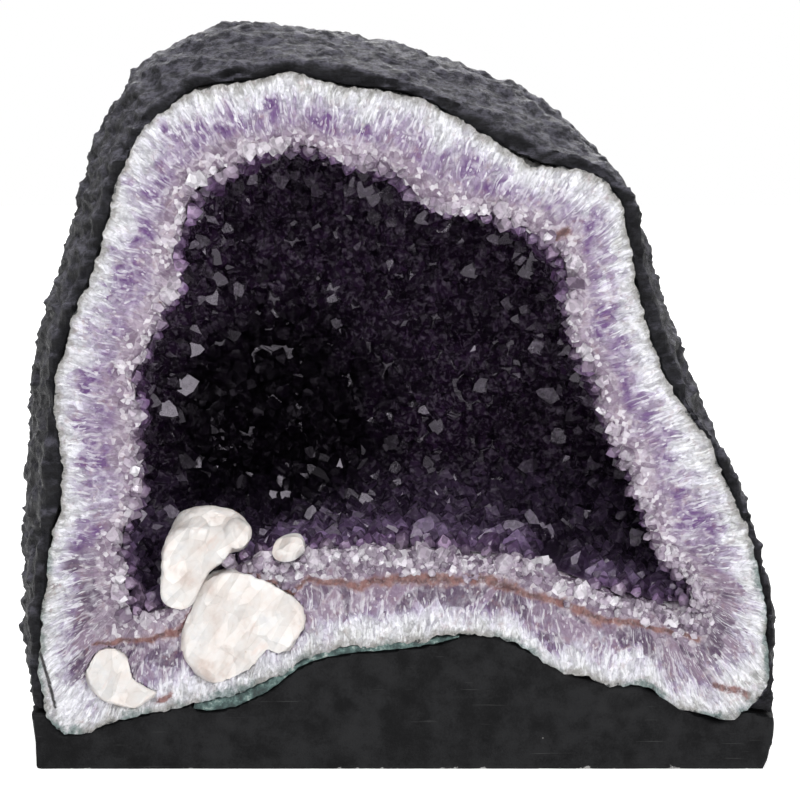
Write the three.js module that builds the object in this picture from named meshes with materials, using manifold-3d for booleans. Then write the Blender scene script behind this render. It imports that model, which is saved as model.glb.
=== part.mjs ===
// A cut-base amethyst geode: a hollow dome of rock, lined with quartz and amethyst, sawn open
// at the front and set in a flat cast foot. Millimetres, X to the right of the open face,
// Y back into the cavity, Z up. The origin is under the middle of the foot.
import * as THREE from 'three';
import { mergeVertices } from 'three/addons/utils/BufferGeometryUtils.js';
import Module from 'manifold-3d';

const wasm = await Module();
wasm.setup();

// Driving dimensions
const LEAN = Math.tan(THREE.MathUtils.degToRad(5)); // how far the sawn face leans back
const GAP = 0.35; // between neighbouring pieces
const RUN_OUT = 20; // how far a cutter runs past the sawn face
const BEYOND = 400; // more than the whole stone, each way
const HUB = [-5, 150]; // sections are matched by angle about this point, as [x, z]

const SKIN_DEPTH = 180; // front to back, rock skin
const LINING_DEPTH = 164; // front to back of the quartz wall's outside
const CAVITY_DEPTH = 130; // front to back of the hollow
const WIDEST_AT = 62; // depth of the fullest section
const DRUSE_SETBACK = 6; // pale rim in front of the dark crystals
const DRUSE_SKIN = 2.4; // thinnest part of the crystal carpet
const POINT_HEIGHT = 4.2; // how far the crystal points stand out of it
const HOLLOW_DEPTH = 1.2; // half the depth of the weathered hollows outside
const BLUNTNESS = 0.72; // how the domes close: 1 is an ellipse, less is blunter
const PULL_DEPTH = 0.4; // relief is pulled towards a middle at this share of the depth

const FOOT_SIDES = 24; // height of the cast foot at its ends
const FOOT_MOUND = 46; // how much higher it is under the quartz floor
const MOUND_HALF_WIDTH = 112;
const MOUND_REACH = 120; // front to back
const FOOT_WAVES = [5, 2.5]; // broad and narrow unevenness of its top

const SEAM_DEPTH = 24;
const BLOCK_DEPTH = 30;
const WEDGE_DEPTH = 16;
const CHIP_DEPTH = 12;
const STALK_DEPTH = 20;
const NODULE_LUMPS = 0.07; // as a share of its radius

// How finely the shapes are meshed
const AROUND = 80; // points round every section
const OUTLINE_POINTS = 28;
const SEAM_POINTS = 40;
const STALK_POINTS = 22;
const OUTLINE_PRECISION = 1200;
const CAST_GRID = [26, 14];
const NODULE_GRID = [16, 10];
const DOME_RINGS = [2, 5]; // up to the widest section, and from there to the tip
const SKIN_RINGS = [3, 6];
const CRYSTAL_RINGS = [4, 7];
const LAST_RING = 0.6; // how far the last ring stays short of the tip, in steps

// Outlines as [x, z]. The first five are whole sections, from the lower left up and over.
const SKIN_FRONT = [
  [-157, -14], [-161, 8], [-164, 31], [-164, 60], [-161, 92], [-159, 120], [-157, 150],
  [-155, 178], [-146, 208], [-135, 242], [-124, 272], [-106, 297], [-82, 308], [-50, 313.5],
  [-18, 309], [14, 301], [40, 286], [66, 275], [90, 268], [104, 252], [109, 224], [117, 197],
  [130, 163], [148, 133], [160, 103], [165.5, 74], [167, 45], [166.5, 15], [164, 4], [152, -14],
];
const SKIN_WIDEST = [
  [-157, -14], [-166, 8], [-171, 30], [-174, 60], [-173, 95], [-172.5, 125], [-171.5, 150],
  [-168, 178], [-159, 209], [-146, 253], [-134, 288], [-116, 312], [-90, 324], [-57, 328],
  [-22, 323.5], [0, 318], [20, 312], [47, 303], [73, 288], [94, 268], [109, 246], [117, 219],
  [127, 188], [138.5, 157], [152.5, 122], [162, 98], [168, 72], [170.5, 35], [168, 8], [155, -14],
];
const LINING_FRONT = [
  [-150, 15], [-156, 19], [-158.5, 34], [-159, 58], [-156, 84], [-154, 104], [-148, 123],
  [-148, 138], [-151, 154], [-152, 170], [-146, 192], [-141, 205], [-133, 225], [-128, 243],
  [-120, 268], [-111, 283], [-98, 294], [-87, 302], [-66, 303], [-47, 308], [-33, 303],
  [-9, 300], [9, 297], [22, 289], [42, 276], [64, 267], [86, 263], [98, 253], [101, 232],
  [105, 215], [109, 196], [119, 171], [136, 146], [145, 128], [154, 105], [161, 82],
  [163.5, 62], [163.5, 37], [158, 29], [143, 20], [128, 26], [112, 36], [88, 39], [74, 43],
  [57, 53], [40, 61], [22, 59.5], [0, 57], [-35, 53], [-51, 44], [-68, 35], [-92, 29],
  [-119, 23],
];
const LINING_WIDEST = [
  [-120, 24], [-150, 36], [-156, 60], [-155, 95], [-153, 125], [-152, 152], [-148, 178],
  [-139, 206], [-128, 238], [-116, 266], [-99, 289], [-78, 301], [-50, 305], [-20, 300],
  [14, 290], [40, 279], [64, 264], [83, 246], [96, 226], [103, 202], [114, 170], [127, 140],
  [142, 108], [151, 78], [152, 50], [124, 34], [90, 42], [40, 58], [-10, 58], [-60, 44],
];
const CAVITY_FRONT = [
  [-119, 67], [-122, 73], [-119, 83], [-122, 99], [-118, 113], [-112, 122], [-115, 145],
  [-112, 160], [-118, 172], [-109, 185], [-103, 201], [-94, 213], [-99, 228], [-92, 242],
  [-87, 257], [-72, 265], [-64, 271], [-36, 273], [-23, 266], [0, 262], [9, 249], [30, 243],
  [45, 244], [54, 237], [71, 229], [74, 208], [78, 183], [87, 170], [91, 150], [101, 130],
  [109, 106], [118, 91], [134, 74], [122, 71], [104, 76], [81, 83], [57, 93], [35, 95],
  [0, 98], [-35, 97], [-50, 99], [-66, 95], [-88, 79], [-108, 70],
];
const CAVITY_WIDEST = [
  [-112, 62], [-127, 86], [-128, 115], [-125, 150], [-122, 176], [-112, 205], [-103, 232],
  [-90, 256], [-68, 271], [-45, 276], [-20, 272], [10, 260], [38, 250], [60, 236], [76, 215],
  [86, 186], [98, 156], [113, 126], [125, 98], [122, 80], [96, 78], [50, 92], [0, 98],
  [-50, 93],
];

// Outlines of the smaller pieces on the sawn face
const SEAM = [
  [-92, 27], [-76, 27], [-64, 32], [-56, 36], [-49, 42], [-42, 46.5], [-30, 50.5], [-14, 52.5],
  [4, 54], [22, 57.5], [30, 60.5], [24, 66], [-6, 64], [-40, 60], [-64, 46], [-84, 36],
];
const BLOCK = [
  [-87, 83], [-73, 88], [-61, 84], [-48, 78], [-41, 67], [-44, 59], [-51, 50], [-57, 54],
  [-62, 51], [-67, 44], [-79, 39.5], [-88, 39], [-96, 51], [-98, 58], [-93, 69],
];
const WEDGE = [[-133, 53], [-122, 52], [-118, 40], [-107, 33], [-120, 27], [-140, 37]];
const CHIP = [[-54, 101], [-44, 103], [-42, 96], [-50, 92], [-56, 95]];
const STALK = [
  [-105, 76], [-104, 90], [-102, 103], [-92, 108], [-77, 104], [-77, 94], [-85, 88],
  [-90, 74], [-101, 72],
];
const NODULE = { centre: [-83.5, 15, 103.5], radii: [17.5, 12.5, 11.5] };
const POINT = { root: [-118, 13, 72], radius: 5.5, shaft: 9, tip: 7, turn: [-0.35, 0.3, 0.35] };

// Evenly spaced points along a closed smooth outline, running anticlockwise seen from the front.
function smooth(points, count) {
  const knots = points.map(([x, z]) => new THREE.Vector3(x, z, 0));
  const curve = new THREE.CatmullRomCurve3(knots, true, 'centripetal');
  curve.arcLengthDivisions = OUTLINE_PRECISION;
  const loop = curve.getSpacedPoints(count).slice(0, count).map((p) => new THREE.Vector2(p.x, p.y));
  return THREE.ShapeUtils.isClockWise(loop) ? loop.reverse() : loop;
}

// Where the ray from the hub through a point meets an outline.
function matched(loop, towards) {
  const hub = new THREE.Vector2(...HUB);
  const ray = towards.clone().sub(hub).normalize();
  let reach = 0;
  for (let i = 0; i < loop.length; i += 1) {
    const start = loop[i].clone().sub(hub);
    const edge = loop[(i + 1) % loop.length].clone().sub(loop[i]);
    const turn = ray.cross(edge);
    const along = start.cross(ray) / turn;
    const distance = start.cross(edge) / turn;
    if (along >= 0 && along <= 1 && distance > reach) {
      reach = distance;
    }
  }
  return hub.addScaledVector(ray, reach);
}

// An outline moved outwards by a distance, away from the hub.
function grown(loop, distance) {
  const hub = new THREE.Vector2(...HUB);
  return loop.map((p) => p.clone().add(p.clone().sub(hub).setLength(distance)));
}

// A closed mesh from rows of points that all run anticlockwise, closed by a flat front and a tip.
function lofted(rows, tip) {
  const vertices = rows.flat().concat(tip);
  const faces = THREE.ShapeUtils.triangulateShape(rows[0].map((p) => new THREE.Vector2(p.x, p.z)), []);
  const count = rows[0].length;
  for (let row = 0; row + 1 < rows.length; row += 1) {
    for (let i = 0; i < count; i += 1) {
      const next = (i + 1) % count;
      const near = row * count;
      const far = near + count;
      faces.push([near + i, far + i, far + next], [near + i, far + next, near + next]);
    }
  }
  const last = (rows.length - 1) * count;
  for (let i = 0; i < count; i += 1) {
    faces.push([last + i, vertices.length - 1, last + ((i + 1) % count)]);
  }
  const geometry = new THREE.BufferGeometry().setFromPoints(vertices);
  geometry.setIndex(faces.flat());
  return geometry;
}

// A dome: the front outline swells to the widest one and then closes round a tip at the back.
// relief(row, i, fullness) pulls a point in towards the middle of the hollow.
function dome({ front, widest, depth, tip, start = 0, grow = 0, rings = DOME_RINGS, relief }) {
  const frontLoop = grown(smooth(front, AROUND), grow);
  const widestLoop = grown(smooth(widest, AROUND * 3), grow);
  const fullLoop = frontLoop.map((p) => matched(widestLoop, p));
  const sections = [];
  if (start < 0) {
    sections.push({ y: start, loop: frontLoop, fullness: 1 });
  }
  for (let step = 0; step <= rings[0]; step += 1) {
    const share = step / rings[0];
    const swell = Math.sin((share * Math.PI) / 2);
    const loop = frontLoop.map((p, i) => p.clone().lerp(fullLoop[i], swell));
    sections.push({ y: share * WIDEST_AT, loop, fullness: 1 });
  }
  const end = depth + grow;
  for (let step = 1; step <= rings[1]; step += 1) {
    const angle = (step / (rings[1] + LAST_RING)) * (Math.PI / 2);
    const fullness = Math.cos(angle) ** BLUNTNESS;
    const centre = new THREE.Vector2(...tip);
    const loop = fullLoop.map((p) => centre.clone().lerp(p, fullness));
    sections.push({ y: WIDEST_AT + (end - WIDEST_AT) * Math.sin(angle), loop, fullness });
  }
  const rows = sections.map(({ y, loop, fullness }, row) => {
    const middle = new THREE.Vector3(tip[0], depth * PULL_DEPTH, tip[1]);
    return loop.map((p, i) => {
      const point = new THREE.Vector3(p.x, y, p.y);
      const pull = relief ? relief(row, i, fullness) : 0;
      return point.add(middle.clone().sub(point).setLength(pull));
    });
  });
  return solid(lofted(rows, [new THREE.Vector3(tip[0], end, tip[1])]));
}

// A flat outline pushed back from the sawn face.
function plug(points, depth, grow, count = OUTLINE_POINTS) {
  const middle = points.reduce((sum, [x, z]) => sum.add(new THREE.Vector2(x, z)), new THREE.Vector2());
  middle.divideScalar(points.length);
  const loop = smooth(points, count).map((p) => p.clone().add(p.clone().sub(middle).setLength(grow)));
  const length = RUN_OUT + depth + grow;
  const geometry = new THREE.ExtrudeGeometry(new THREE.Shape(loop), { depth: length, bevelEnabled: false });
  geometry.rotateX(Math.PI / 2);
  geometry.translate(0, depth + grow, 0);
  return solid(geometry);
}

// All the space above the ground and behind a depth.
function spaceBehind(depth) {
  const geometry = new THREE.BoxGeometry(2 * BEYOND, BEYOND, BEYOND);
  geometry.translate(0, depth + BEYOND / 2, BEYOND / 2);
  return solid(geometry);
}

// The foot is cast up to this height: low at the sides and back, high under the quartz floor.
function castHeight(x, y) {
  const waves = FOOT_WAVES[0] * Math.sin(x / 55) + FOOT_WAVES[1] * Math.sin(y / 17 + x / 40);
  const mound = Math.exp(-((x / MOUND_HALF_WIDTH) ** 4) - (Math.max(y, 0) / MOUND_REACH) ** 4);
  return FOOT_SIDES + waves + FOOT_MOUND * mound;
}

function cast(raise) {
  const width = 2.4 * SKIN_DEPTH;
  const depth = SKIN_DEPTH + 4 * RUN_OUT;
  const geometry = new THREE.BoxGeometry(width, depth, 1, ...CAST_GRID);
  geometry.translate(0, depth / 2 - 2 * RUN_OUT, 0);
  const place = geometry.attributes.position;
  for (let i = 0; i < place.count; i += 1) {
    const top = castHeight(place.getX(i), place.getY(i)) + raise;
    place.setZ(i, place.getZ(i) > 0 ? top : -2 * RUN_OUT);
  }
  return solid(geometry);
}

function nodule(grow) {
  const [rx, ry, rz] = NODULE.radii.map((radius) => radius + grow);
  const head = new THREE.SphereGeometry(1, ...NODULE_GRID);
  const place = head.attributes.position;
  for (let i = 0; i < place.count; i += 1) {
    const p = new THREE.Vector3().fromBufferAttribute(place, i);
    const lump = 1 + NODULE_LUMPS * Math.sin(3 * p.x + 1) * Math.cos(4 * p.z);
    place.setXYZ(i, p.x * rx * lump, p.y * ry, p.z * rz * lump);
  }
  head.translate(...NODULE.centre);
  return plug(STALK, STALK_DEPTH, grow, STALK_POINTS).add(solid(head));
}

// One six-sided amethyst point, seated in the lining.
function crystal(grow) {
  const radius = POINT.radius + grow;
  const profile = [[0, -grow], [radius, -grow], [radius, POINT.shaft], [0, POINT.shaft + POINT.tip + grow]];
  const geometry = new THREE.LatheGeometry(profile.map(([r, h]) => new THREE.Vector2(r, h)), 6);
  geometry.rotateX(Math.PI / 2);
  geometry.applyMatrix4(new THREE.Matrix4().makeRotationFromEuler(new THREE.Euler(...POINT.turn)));
  geometry.translate(...POINT.root);
  return solid(geometry);
}

// The weathered outside: broad shallow hollows, none at the sawn edge.
function weathering(row, i, fullness) {
  const wave = Math.sin(i * 0.55 + row * 1.9) * Math.cos(row * 1.3 - i * 0.21);
  return row === 0 ? 0 : HOLLOW_DEPTH * (1 + wave) * fullness ** 2;
}

// Crystal points: every other grid point stands out, by an amount that varies evenly.
function crystalPoints(row, i, fullness) {
  const stands = (row + i) % 2 === 0 ? 0.55 + 0.45 * Math.sin(row * 2.4 + i * 1.7) : 0;
  return (DRUSE_SKIN + POINT_HEIGHT * stands) * Math.sqrt(fullness);
}

function solid(geometry) {
  const bare = geometry.clone();
  bare.deleteAttribute('normal');
  bare.deleteAttribute('uv');
  const merged = mergeVertices(bare, 1e-4);
  const index = merged.index.array;
  const triVerts = [];
  for (let i = 0; i < index.length; i += 3) {
    const [a, b, c] = index.slice(i, i + 3);
    if (a !== b && b !== c && c !== a) {
      triVerts.push(a, b, c);
    }
  }
  return new wasm.Manifold(new wasm.Mesh({
    numProp: 3,
    vertProperties: new Float32Array(merged.attributes.position.array),
    triVerts: new Uint32Array(triVerts),
  }));
}

// The finished solid as a named mesh. Everything is built with the sawn face upright, and the
// lean is given here, so the foot's underside stays flat and level.
function piece(name, manifold, { color, roughness, metalness = 0 }) {
  const mesh = manifold.getMesh();
  const geometry = new THREE.BufferGeometry();
  geometry.setAttribute('position', new THREE.BufferAttribute(new Float32Array(mesh.vertProperties), 3));
  geometry.setIndex(Array.from(mesh.triVerts));
  geometry.applyMatrix4(new THREE.Matrix4().makeShear(0, 0, 0, 0, 0, LEAN));
  const flat = geometry.toNonIndexed();
  flat.computeVertexNormals();
  const part = new THREE.Mesh(flat, new THREE.MeshStandardMaterial({ color, roughness, metalness }));
  part.name = name;
  return part;
}

// The nested domes, with room for the gaps
const SKIN = { front: SKIN_FRONT, widest: SKIN_WIDEST, depth: SKIN_DEPTH, tip: [-6, 96] };
const LINING = { front: LINING_FRONT, widest: LINING_WIDEST, depth: LINING_DEPTH, tip: [-8, 118] };
const CAVITY = { front: CAVITY_FRONT, widest: CAVITY_WIDEST, depth: CAVITY_DEPTH, tip: [-30, 140] };
const aboveGround = spaceBehind(0);
const skin = dome({ ...SKIN, rings: SKIN_RINGS, relief: weathering }).intersect(aboveGround);
const lining = dome({ ...LINING, start: -RUN_OUT });
const liningRoom = dome({ ...LINING, start: -RUN_OUT, grow: GAP });
const hollow = dome({ ...CAVITY, start: -RUN_OUT });
const seamZone = plug(SEAM, SEAM_DEPTH, 0, SEAM_POINTS);
const seamRoom = seamZone.add(seamZone.translate(0, GAP, -GAP)).add(seamZone.translate(GAP, 0, 0))
  .add(seamZone.translate(-GAP, 0, 0));

const druseBack = dome({ ...CAVITY, start: -RUN_OUT, grow: -GAP });
const druseFace = dome({
  ...CAVITY, start: -RUN_OUT, grow: -GAP, rings: CRYSTAL_RINGS, relief: crystalPoints,
});
const behindRim = spaceBehind(DRUSE_SETBACK);

const cement = { color: 0x2b2c2e, roughness: 0.85 };
const basalt = { color: 0x3a3b40, roughness: 0.75 };
const celadonite = { color: 0x4d7a74, roughness: 0.7 };
const quartz = { color: 0xd9d0e4, roughness: 0.35 };
const amethyst = { color: 0x2f1f3a, roughness: 0.2 };
const calcite = { color: 0xf1e9e2, roughness: 0.5 };

const pieces = [
  piece('cement_base', skin.intersect(cast(0)).subtract(liningRoom).subtract(seamRoom), cement),
  piece('basalt_rind', skin.subtract(cast(GAP)).subtract(liningRoom), basalt),
  piece('celadonite_seam', seamZone.intersect(skin).subtract(liningRoom), celadonite),
  piece(
    'quartz_lining',
    lining.intersect(skin).subtract(hollow).subtract(plug(BLOCK, BLOCK_DEPTH, GAP))
      .subtract(plug(WEDGE, WEDGE_DEPTH, GAP)).subtract(plug(CHIP, CHIP_DEPTH, GAP)).subtract(nodule(GAP))
      .subtract(crystal(GAP)),
    quartz,
  ),
  piece(
    'amethyst_druse',
    druseBack.intersect(behindRim).subtract(druseFace).subtract(nodule(GAP)).subtract(crystal(GAP))
      .subtract(plug(CHIP, CHIP_DEPTH, GAP)).subtract(plug(BLOCK, BLOCK_DEPTH, GAP)),
    amethyst,
  ),
  piece('calcite_block', plug(BLOCK, BLOCK_DEPTH, 0).intersect(lining).intersect(skin), calcite),
  piece('calcite_nodule', nodule(0).intersect(skin).subtract(plug(BLOCK, BLOCK_DEPTH, GAP)), calcite),
  piece('calcite_wedge', plug(WEDGE, WEDGE_DEPTH, 0).intersect(skin), calcite),
  piece('calcite_chip', plug(CHIP, CHIP_DEPTH, 0).intersect(skin), calcite),
  piece('pocket_crystal', crystal(0), amethyst),
];

const geode = new THREE.Group();
geode.add(...pieces);
const extent = new THREE.Box3().setFromObject(geode);
const middle = extent.getCenter(new THREE.Vector3());
geode.position.set(-middle.x, -middle.y, -extent.min.z);

export default geode;
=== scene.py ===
import math
import random

import bpy
import numpy as np
from mathutils import Matrix, Vector, bvhtree, noise


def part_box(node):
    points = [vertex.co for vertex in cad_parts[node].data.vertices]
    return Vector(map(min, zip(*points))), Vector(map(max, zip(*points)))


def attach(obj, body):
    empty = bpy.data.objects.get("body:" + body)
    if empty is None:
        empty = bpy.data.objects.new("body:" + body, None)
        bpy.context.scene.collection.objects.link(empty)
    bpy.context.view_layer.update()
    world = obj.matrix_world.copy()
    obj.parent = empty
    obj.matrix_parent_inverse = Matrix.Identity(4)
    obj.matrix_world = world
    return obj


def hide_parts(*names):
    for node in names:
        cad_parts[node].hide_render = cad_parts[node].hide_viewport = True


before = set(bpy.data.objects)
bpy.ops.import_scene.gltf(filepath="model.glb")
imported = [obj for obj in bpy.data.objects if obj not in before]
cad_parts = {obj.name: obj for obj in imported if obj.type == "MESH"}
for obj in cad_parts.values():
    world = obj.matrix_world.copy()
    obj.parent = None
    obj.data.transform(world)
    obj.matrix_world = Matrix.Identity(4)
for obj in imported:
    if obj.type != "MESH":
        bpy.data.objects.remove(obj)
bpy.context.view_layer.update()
MM = 0.001


# ------------------------------------------------------------------ the cast foot
# Black cement, cast under the stone so that it stands, rubbed flat in front and below. Its lower
# edge is chipped pale, and it has shrunk away from the stone in one place.

SAWN_LEAN = math.tan(math.radians(5))
SAWN_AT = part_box("cement_base")[0].y
FOOT_MESH = 1.9 * MM


def sawn_y(z):
    """Where the sawn face is at a height."""
    return SAWN_AT + SAWN_LEAN * z


def only(piece):
    bpy.ops.object.select_all(action="DESELECT")
    piece.select_set(True)
    bpy.context.view_layer.objects.active = piece


def apply_modifiers(piece):
    only(piece)
    for modifier in list(piece.modifiers):
        bpy.ops.object.modifier_apply(modifier=modifier.name)


def fine_copy(node, name, mesh_size, smooth=0):
    """A closed and evenly meshed copy of a CAD node, ready to be shaped."""
    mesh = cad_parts[node].data.copy()
    mesh.materials.clear()
    piece = bpy.data.objects.new(name, mesh)
    bpy.context.scene.collection.objects.link(piece)
    only(piece)
    bpy.ops.object.mode_set(mode="EDIT")
    bpy.ops.mesh.select_all(action="SELECT")
    bpy.ops.mesh.remove_doubles(threshold=0.01 * MM)
    bpy.ops.object.mode_set(mode="OBJECT")
    remesh = piece.modifiers.new("even", "REMESH")
    remesh.mode = "VOXEL"
    remesh.voxel_size = mesh_size
    if smooth:
        soften = piece.modifiers.new("soften", "SMOOTH")
        soften.iterations = smooth
    apply_modifiers(piece)
    return piece


def points_of(piece):
    places = np.empty(len(piece.data.vertices) * 3)
    piece.data.vertices.foreach_get("co", places)
    normals = np.empty_like(places)
    piece.data.vertices.foreach_get("normal", normals)
    return places.reshape(-1, 3), normals.reshape(-1, 3)


def rise(value, low, high):
    """0 below low, 1 above high, and a smooth rise between."""
    share = np.clip((value - low) / (high - low), 0, 1)
    return share * share * (3 - 2 * share)


def weigh(piece, name, weights):
    group = piece.vertex_groups.new(name=name)
    levels = np.round(weights * 20).astype(int)
    for level in range(1, 21):
        group.add([int(i) for i in np.nonzero(levels == level)[0]], level / 20, "REPLACE")
    return name


def displace(piece, name, kind, size, depth, group="", laid_by=None, **settings):
    texture = bpy.data.textures.new(name, kind)
    texture.noise_scale = size
    for key, value in settings.items():
        setattr(texture, key, value)
    modifier = piece.modifiers.new(name, "DISPLACE")
    modifier.texture = texture
    modifier.texture_coords = "OBJECT" if laid_by else "LOCAL"
    modifier.texture_coords_object = laid_by
    modifier.strength = depth
    modifier.mid_level = 0.5
    modifier.vertex_group = group
    apply_modifiers(piece)


def add(tree, kind, values=None, **settings):
    """Adds a shader node. A value is set on its socket, or linked if it is another node's."""
    made = tree.nodes.new("ShaderNode" + kind)
    for key, value in settings.items():
        setattr(made, key, value)
    for key, value in (values or {}).items():
        socket = made.inputs[key]
        if isinstance(value, bpy.types.NodeSocket):
            tree.links.new(value, socket)
        else:
            socket.default_value = value
    return made


def sums(tree, operation, first, second=0.0, clamp=False):
    return add(tree, "Math", {0: first, 1: second}, operation=operation, use_clamp=clamp).outputs[0]


def between(tree, value, low, high, start=0.0, end=1.0):
    """A smooth change from start to end while the value goes from low to high."""
    values = {"Value": value, "From Min": low, "From Max": high, "To Min": start, "To Max": end}
    return add(tree, "MapRange", values, interpolation_type="SMOOTHSTEP").outputs[0]


def mixed(tree, share, first, second, blend_type="MIX"):
    opaque = [c if isinstance(c, bpy.types.NodeSocket) else (*c, 1.0) for c in (first, second)]
    values = {0: share, 6: opaque[0], 7: opaque[1]}
    return add(tree, "Mix", values, data_type="RGBA", blend_type=blend_type).outputs[2]


def ramp(tree, value, stops):
    made = add(tree, "ValToRGB", {0: value})
    elements = made.color_ramp.elements
    while len(elements) < len(stops):
        elements.new(1.0)
    for element, (place, colour) in zip(elements, stops):
        element.position = place
        element.color = (*colour, 1.0)
    return made.outputs[0]


def speckle(tree, place, size, detail=3.0, roughness=0.55, stretch=(1, 1, 1)):
    """Soft noise from 0 to 1 with lumps of about this size."""
    scaled = add(tree, "VectorMath", {0: place, 1: tuple(s / size for s in stretch)}, operation="MULTIPLY")
    values = {"Vector": scaled.outputs[0], "Scale": 1.0, "Detail": detail, "Roughness": roughness}
    return add(tree, "TexNoise", values).outputs[0]


def cells(tree, place, size, feature="F1", randomness=1.0):
    scaled = add(tree, "VectorMath", {0: place, 1: (1 / size,) * 3}, operation="MULTIPLY")
    values = {"Vector": scaled.outputs[0], "Scale": 1.0, "Randomness": randomness}
    return add(tree, "TexVoronoi", values, feature=feature)


def raised(tree, height, depth, strength=1.0):
    """A normal for a relief of this depth."""
    values = {"Height": height, "Distance": depth, "Strength": strength}
    return add(tree, "Bump", values).outputs[0]


def new_material(name):
    material = bpy.data.materials.new(name)
    material.use_nodes = True
    tree = material.node_tree
    tree.nodes.clear()
    surface = add(tree, "BsdfPrincipled")
    output = add(tree, "OutputMaterial", {0: surface.outputs[0]})
    output.location = (300, 0)
    return material, tree, surface


def connect(tree, surface, **values):
    names = {"colour": "Base Color", "roughness": "Roughness", "normal": "Normal", "coat": "Coat Weight"}
    for key, value in values.items():
        socket = surface.inputs[names[key]]
        if isinstance(value, bpy.types.NodeSocket):
            tree.links.new(value, socket)
        else:
            socket.default_value = value


def own_place(tree):
    return add(tree, "TexCoord").outputs["Object"]


def grain_group():
    """Fine mineral grain for dull stone: a shade around 1, sparse pale specks and a relief."""
    tree = bpy.data.node_groups.new("stone_grain", "ShaderNodeTree")
    for name, kind in (("Place", "NodeSocketVector"), ("Size", "NodeSocketFloat"), ("Specks", "NodeSocketFloat")):
        tree.interface.new_socket(name, in_out="INPUT", socket_type=kind)
    for name in ("Shade", "Speck", "Height"):
        tree.interface.new_socket(name, in_out="OUTPUT", socket_type="NodeSocketFloat")
    given = tree.nodes.new("NodeGroupInput")
    out = tree.nodes.new("NodeGroupOutput")
    density = sums(tree, "DIVIDE", 1.0, given.outputs["Size"])
    scaled = add(tree, "VectorMath", {0: given.outputs["Place"], "Scale": density}, operation="SCALE").outputs[0]
    fine = add(tree, "TexNoise", {"Vector": scaled, "Scale": 1.0, "Detail": 4.0, "Roughness": 0.7}).outputs[0]
    broad = add(tree, "TexNoise", {"Vector": scaled, "Scale": 0.08, "Detail": 3.0, "Roughness": 0.6}).outputs[0]
    dots = add(tree, "TexVoronoi", {"Vector": scaled, "Scale": 0.22, "Randomness": 1.0})
    near = between(tree, dots.outputs["Distance"], 0.05, 0.14, 1.0, 0.0)
    chance = add(tree, "SeparateColor", {0: dots.outputs["Color"]}).outputs[0]
    rare = sums(tree, "LESS_THAN", chance, given.outputs["Specks"])
    tree.links.new(sums(tree, "ADD", sums(tree, "MULTIPLY", fine, 0.7), sums(tree, "MULTIPLY", broad, 1.1)), out.inputs["Shade"])
    tree.links.new(sums(tree, "MULTIPLY", near, rare), out.inputs["Speck"])
    tree.links.new(fine, out.inputs["Height"])
    return tree


stone_grain = grain_group()


def grained(tree, place, size, specks):
    made = add(tree, "Group", node_tree=stone_grain)
    tree.links.new(place, made.inputs["Place"])
    made.inputs["Size"].default_value = size
    made.inputs["Specks"].default_value = specks
    return made.outputs


def cement_paint():
    material, tree, surface = new_material("black_cement")
    place = own_place(tree)
    height = add(tree, "SeparateXYZ", {0: place}).outputs[2]
    grain = grained(tree, place, 0.9 * MM, 0.018)
    dark = mixed(tree, between(tree, grain["Shade"], 0.70, 1.10), (0.0022, 0.0023, 0.0027), (0.0090, 0.0093, 0.0102))
    dust_and_sheen = speckle(tree, place, 22 * MM, 5.0)
    dark = mixed(tree, between(tree, dust_and_sheen, 0.5, 0.75, 0.0, 0.15), dark, (0.020, 0.020, 0.021))
    dark = mixed(tree, grain["Speck"], dark, (0.42, 0.41, 0.40))
    worn = sums(tree, "ADD", height, sums(tree, "MULTIPLY", speckle(tree, place, 9 * MM, 4.0, 0.7), -14 * MM))
    chipped = between(tree, worn, -8.6 * MM, -7.8 * MM, 1.0, 0.0)
    dark = mixed(tree, sums(tree, "MULTIPLY", chipped, 0.8), dark, (0.30, 0.295, 0.29))
    scuff = speckle(tree, place, 30 * MM, 2.0, 0.5, stretch=(1, 1, 40))
    thin = sums(tree, "MULTIPLY", between(tree, scuff, 0.70, 0.74), 0.2)
    dark = mixed(tree, thin, dark, (0.12, 0.12, 0.12))
    connect(
        tree, surface, colour=dark,
        roughness=between(tree, grain["Shade"], 0.5, 1.3, 0.72, 0.5),
        normal=raised(tree, grain["Height"], 0.25 * MM),
    )
    surface.inputs["Specular IOR Level"].default_value = 0.13
    return material


foot = fine_copy("cement_base", "cast_foot", FOOT_MESH)
places, normals = points_of(foot)
behind = places[:, 1] - sawn_y(places[:, 2])
outside = rise(places[:, 2], 0.5 * MM, 5 * MM) * rise(behind, 0.5 * MM, 6 * MM)
weigh(foot, "outside", outside)
weigh(foot, "front", 1 - rise(behind, 0.3 * MM, 3 * MM))
displace(foot, "trowelled", "CLOUDS", 26 * MM, 2.2 * MM, "outside", noise_depth=3)
displace(foot, "rubbed", "CLOUDS", 14 * MM, 0.5 * MM, "front", noise_depth=2)
foot.data.materials.append(cement_paint())
only(foot)
bpy.ops.object.shade_smooth_by_angle(angle=math.radians(40))
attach(foot, "root")
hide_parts("cement_base")


# ------------------------------------------------------------------ the rock skin
# The skin of dark basalt that the geode grew in, chipped down to a few millimetres with a pick
# and painted charcoal. It is sawn through at the front.

RIND_MESH = 2.0 * MM
HUB = Vector((-3 * MM, 0, 150 * MM))


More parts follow.
